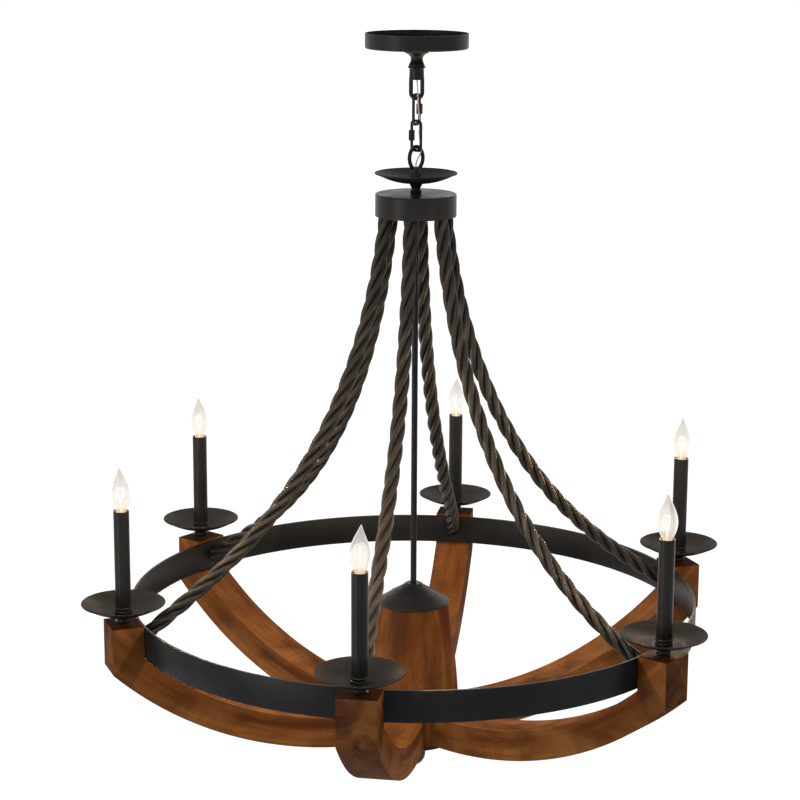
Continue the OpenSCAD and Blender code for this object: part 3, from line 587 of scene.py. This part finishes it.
def make_rope(k, material):
    low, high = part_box("rope_4")
    top_z = high.z
    ring_low, ring_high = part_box("ring")
    ring_z = (ring_low.z + ring_high.z) / 2
    end_x = high.y
    corners = [
        Vector((ROPE_TOP, 0, top_z)),
        Vector((ROPE_TOP + ROPE_PULL_OUT, 0, top_z - ROPE_PULL_DOWN)),
        Vector((end_x - ROPE_PULL_IN, -ROPE_LEAN, ring_z + ROPE_PULL_UP)),
        Vector((end_x, 0, ring_z)),
    ]
    outline = strand_outline()
    turn = on_spoke(k)
    points, crests, rows = [], [], []
    for step, (t, run) in enumerate(even_places(corners)):
        centre = bezier(corners, t)
        along = bezier_slope(corners, t)
        across = (Vector((0, 1, 0)) - along * along.y).normalized()
        side = along.cross(across)
        rows.append(run)
        for a, edge, crest in outline:
            b = a - 2 * math.pi * run / ROPE_LAY
            p = centre + edge * (math.cos(b) * side + math.sin(b) * across)
            if step == 0:
                p = p + along * ((top_z - p.z) / along.z)
            if step == ROPE_STEPS:
                p = p + along * ((end_x - p.x) / along.x)
            points.append(turn @ p)
            crests.append(crest)
    name = f"twisted_arm_{k}"
    count = len(outline)
    mesh = mesh_from(name, points, ring_faces(ROPE_STEPS + 1, count))
    attribute = mesh.attributes.new("crest", "FLOAT", "POINT")
    attribute.data.foreach_set("value", crests)
    uv = mesh.uv_layers.new(name="strand")
    for loop in mesh.loops:
        ring, j = divmod(loop.vertex_index, count)
        uv.data[loop.index].uv = (j / LOBE_POINTS, rows[ring] * GRAIN_PER_METRE)
    piece = new_piece(name, mesh, material, "fixture", sharp=60)
    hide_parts(f"rope_{k}")


# ---- Lamp cord, by the same points as the fixed frame's ----

CORD_ROUTE = [
    (0, 0, -1), (0, 0, -14), (0, 0, -27), (0, 0, -40), (0, 0, -54), (0, 0, -67),
    (1, -1.5, -77), (2, -3.5, -87), (3, -5, -96), (3, -5, -105), (3, -3, -114),
    (3.5, -0.5, -123), (4.5, 1, -132), (5, 1.5, -141), (5, 1.5, -150), (4.5, 1, -159),
    (5.5, 0.5, -168), (7.5, -0.8, -177), (8.3, -0.7, -185), (7, -0.7, -193),
    (3, -0.5, -201), (0, 0, -209), (0, 0, -218), (0, 0, -235), (0, 0, -252),
    (0, 0, -269),
]
CORD_R = 1.1 * MM
UPPER_LINK_MIDDLE = -0.1218
LOWER_LINK_MIDDLE = -0.1644
CORD_OVERLAP = 0.0025


def make_cord(material):
    """Three lengths that meet inside the two links, each crossing one joint of the chain."""
    route = smooth_between([Vector(p) * MM for p in CORD_ROUTE], 6)
    cuts = (1.0, UPPER_LINK_MIDDLE, LOWER_LINK_MIDDLE, -1.0)
    pairs = (("ceiling_mount", "upper_link"), ("upper_link", "lower_link"), ("lower_link", "fixture"))
    hinges = [Vector(j["pos_m"]) for j in frame["joints"] if j["name"].startswith("chain")]
    for i, (bodies, hinge) in enumerate(zip(pairs, hinges)):
        part = [p for p in route if cuts[i + 1] - CORD_OVERLAP <= p.z <= cuts[i]]
        name = f"lamp_cord_{i + 1}"
        piece = new_piece(name, tube_along(name, part, CORD_R), material, None)
        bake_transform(piece)
        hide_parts("lamp_cord")


# ---- Bulbs ----

CANDLE_X = 0.502
FLAME = [
    (0, 0.42), (0.06, 0.5), (0.14, 0.68), (0.24, 0.88), (0.34, 0.98), (0.42, 1.0),
    (0.5, 0.965), (0.6, 0.85), (0.7, 0.67), (0.8, 0.46), (0.88, 0.28), (0.94, 0.16), (0.985, 0.07),
]
BULB_R = 15.8 * MM
GLASS_T = 0.6 * MM
BASE_H = 20 * MM
GLASS_SEAT = 0.8 * MM
AXIS_R = 0.2 * MM
LAMP_POWER = 5.5
LAMP_COLOUR = (1.0, 0.74, 0.45)
LAMP_R = 14.5 * MM
TIP_LEAN = 2.2 * MM
TIP_TURNS = (20, 200, 150, 320, 60, 110)


def make_bulb(k, glass, brass, wire, stem_glass):
    low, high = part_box(f"bulb_{k}")
    centre = on_spoke(k) @ Vector((CANDLE_X, 0, 0))
    glass_z = low.z + BASE_H + GLASS_SEAT
    tall = high.z - glass_z - 0.2 * MM
    place = Matrix.Translation((centre.x, centre.y, glass_z))
    body = f"bulb_{k}"
    lean = Vector((math.cos(math.radians(TIP_TURNS[k - 1])), math.sin(math.radians(TIP_TURNS[k - 1])), 0))

    def bent(p):
        share = max(0.0, p.z / tall - 0.45) / 0.55
        return p + lean * TIP_LEAN * share ** 2.5

    outer = smooth_between([Vector((r * BULB_R, h * tall)) for h, r in FLAME], 4)
    inner = [Vector((max(p.x - GLASS_T, AXIS_R), max(p.y, GLASS_T))) for p in outer[:-1]]
    outline = [(AXIS_R, 0.0)] + [tuple(p) for p in outer] + [(AXIS_R, tall)]
    inside = [(AXIS_R, outer[-1].y - 2 * MM)] + [tuple(p) for p in reversed(inner)]
    shell = lathe(f"bulb_glass_{k}", outline + inside + [(AXIS_R, GLASS_T)], 40, True, place, bent)
    shell_piece = new_piece(f"bulb_glass_{k}", shell, glass, body, 60)
    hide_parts(f"bulb_{k}")

    r = 5.85 * MM
    thread = [(AXIS_R, -BASE_H - 0.7 * MM), (2.4 * MM, -BASE_H - 0.7 * MM), (2.6 * MM, -BASE_H)]
    thread += [(r * 0.8, -BASE_H + 0.5 * MM)]
    turns = 5
    thread_h = 13 * MM
    for i in range(turns * 6 + 1):
        z = -BASE_H + 1.6 * MM + i * thread_h / (turns * 6)
        thread.append((r - 0.45 * MM * (0.5 + 0.5 * math.cos(2 * math.pi * i / 6)), z))
    thread += [(r, -3.5 * MM), (r, -0.6 * MM), (r - 0.4 * MM, 0.15 * MM), (AXIS_R, 0.15 * MM)]
    base = new_piece(f"bulb_base_{k}", lathe(f"bulb_base_{k}", thread, 40, False, place), brass,
                     body)
    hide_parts(f"bulb_{k}")

    stem = [(AXIS_R, 0.7 * MM), (3.4 * MM, 0.8 * MM), (2.2 * MM, 6 * MM), (1.4 * MM, 12 * MM),
            (1.6 * MM, 20 * MM), (1.0 * MM, 23 * MM), (AXIS_R, 23.3 * MM)]
    post = new_piece(f"bulb_stem_{k}", lathe(f"bulb_stem_{k}", stem, 20, False, place), stem_glass,
                     body)
    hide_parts(f"bulb_{k}")

    turn = on_spoke(k).to_3x3()
    lamp_z = 0.5 * tall
    half = 4.5 * MM
    arch = [
        Vector((-1.2 * MM, 0, 20 * MM)), Vector((-half, 0, lamp_z)),
        Vector((-half * 0.55, 0, lamp_z + 5 * MM)), Vector((0, 0, lamp_z + 1.5 * MM)),
        Vector((half * 0.55, 0, lamp_z + 5 * MM)), Vector((half, 0, lamp_z)),
        Vector((1.2 * MM, 0, 20 * MM)),
    ]
    route = [place @ (turn @ p) for p in smooth_between(arch, 6)]
    lit = new_piece(f"bulb_filament_{k}", tube_along(f"bulb_filament_{k}", route, 0.22 * MM, 8), wire,
                    body)
    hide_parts(f"bulb_{k}")

    lamp = bpy.data.lights.new(f"lamp_{k}", "POINT")
    lamp.energy = LAMP_POWER
    lamp.color = LAMP_COLOUR
    lamp.shadow_soft_size = LAMP_R
    glow = bpy.data.objects.new(f"lamp_{k}", lamp)
    bpy.context.scene.collection.objects.link(glow)
    glow.matrix_world = Matrix.Translation(place @ Vector((0, 0, lamp_z)))
    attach(glow, body)
    # The glow falls on what stands round the bulb, not on the bulb itself
    not_lit = bpy.data.collections.new(f"not_lit_by_lamp_{k}")
    for piece in (shell_piece, base, post, lit):
        not_lit.objects.link(piece)
    for member in not_lit.collection_objects:
        member.light_linking.link_state = "EXCLUDE"
    glow.light_linking.receiver_collection = not_lit


# ---- Small hardware on the candle necks ----

NECK_SCREW_TURNS = (75, 10, 40, 60, 20, 100)
NECK_BALL_UP = 6.2 * MM


def make_neck_screw(k, brass):
    """Small set screw with a round, dished head, in the side of each neck."""
    low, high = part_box("candle_necks")
    middle = on_spoke(k) @ Vector((CANDLE_X, 0, low.z + NECK_BALL_UP))
    angle = math.radians(spoke_turn(k) + NECK_SCREW_TURNS[k - 1])
    out = Matrix.Rotation(angle, 4, "Z") @ Matrix.Rotation(math.radians(90), 4, "Y")
    place = Matrix.Translation(middle) @ out
    head = [(AXIS_R, 7 * MM), (1.2 * MM, 7 * MM), (1.2 * MM, 11.5 * MM), (2.3 * MM, 11.6 * MM),
            (2.4 * MM, 13.2 * MM), (2.0 * MM, 13.8 * MM), (0.7 * MM, 14 * MM), (AXIS_R, 13.4 * MM)]
    name = f"neck_screw_{k}"
    new_piece(name, lathe(name, head, 20, False, place), brass, "fixture")


# ---- The fixed frame's own pieces ----

IRON_NODES = ["canopy", "hub_drum", "base_plate", "finial"]
CAST_NODES = [
    "collar_ring", "canopy_loop", "upper_link", "upper_link_nut", "lower_link", "lower_link_nut",
    "hub_eye", "hub_spacer", "hub_floor", "rod", "candle_necks",
]
ZINC_NODES = ["hub_nuts", "rope_nuts", "ring_studs",
              "candle_nipples"]


def dress(names, material):
    for name in names:
        mesh = nodes[name].data
        mesh.materials.clear()
        mesh.materials.append(material)


def ease_edges(names, width, segments=2):
    """Rounds the hard edges a little, with modifiers alone."""
    for name in names:
        node = nodes[name]
        weld = node.modifiers.new("weld", "WELD")
        weld.merge_threshold = 0.00001
        bevel = node.modifiers.new("bevel", "BEVEL")
        bevel.width = width
        bevel.segments = segments
        bevel.limit_method = "ANGLE"
        bevel.angle_limit = math.radians(50)
        bevel.harden_normals = False


def dress_frame():
    dress(IRON_NODES, painted_iron("satin_iron"))
    pan_tone = (0.0095, 0.0085, 0.0075)
    pan_iron = painted_iron("pan_iron", pan_tone, (0.3, 0.42), level=0.0, coat=0.24)
    dress([f"bobeche_{k}" for k in SPOKES], pan_iron)
    dress([f"sleeve_{k}" for k in SPOKES], painted_iron("sleeve_iron", rough=(0.27, 0.38)))
    dish_tone = (0.0095, 0.0085, 0.0078)
    dress(["hub_dish"], painted_iron("dish_iron", dish_tone, (0.3, 0.42), level=0.0, coat=0.24))
    dress(["ring"], painted_iron("ring_iron", (0.0118, 0.0119, 0.0125), (0.36, 0.46), level=0.09))
    cap_tone = (0.0075, 0.007, 0.0066)
    dress(["post_cap"], painted_iron("cap_iron", cap_tone, (0.18, 0.28), level=0.05, coat=0.16))
    dress(CAST_NODES, painted_iron("cast_iron", (0.0105, 0.010, 0.0096), (0.28, 0.42), 1.6))
    dress(ZINC_NODES, zinc_plate())
    # Crossbar, nipple and nut inside the canopy: painted shade, near black instead of zinc
    dress(["crossbar", "canopy_nipple", "nipple_nut"], painted_shade_plate())
    dress(["ground_screw"], moulded("earth_green", (0.04, 0.25, 0.08), 0.4))
    dress(["lamp_sockets"], moulded("phenolic", (0.03, 0.026, 0.023), 0.55))
    dress(["arm_dowels"], plain_wood())
    dress(["centre_post"], stained_wood("post_wood", upright=True))
    for k in SPOKES:
        dress([f"arm_{k}"], stained_wood(f"arm_wood_{k}", spoke_turn(k)))
    ease_edges([f"arm_{k}" for k in SPOKES], 1.6 * MM, 3)
    ease_edges(["ring"], 0.6 * MM)


make_camera()
make_world()
make_floor()
soft_light("key", (-2.6, -2.9, -0.5), 56, (0.8, 3.2), (0.94, 0.97, 1.0))
soft_light("fill", (3.3, -1.9, -0.6), 6, (0.6, 3.0), (1.0, 0.95, 0.88))
soft_light("top", (-0.6, -1.4, 2.6), 26, (2.0, 2.0))
soft_light("back", (0.8, 3.2, 1.2), 9, (2.0, 2.0))
dress_frame()
rope_material = twisted_iron("twisted_iron")
bulb_low, bulb_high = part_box("bulb_1")
glass_foot_z = bulb_low.z + BASE_H + GLASS_SEAT
glass_material = bulb_glass(glass_foot_z, bulb_high.z - glass_foot_z)
brass_material = soft_brass()
wire_material = glowing("filament", (1.0, 0.72, 0.38), 9)
stem_material = moulded("stem_glass", (0.8, 0.78, 0.74), 0.2)
make_cord(cord_skin())
for k in SPOKES:
    make_rope(k, rope_material)
    make_bulb(k, glass_material, brass_material, wire_material, stem_material)
    make_neck_screw(k, brass_material)

scene = bpy.context.scene
scene.view_settings.view_transform = "Standard"
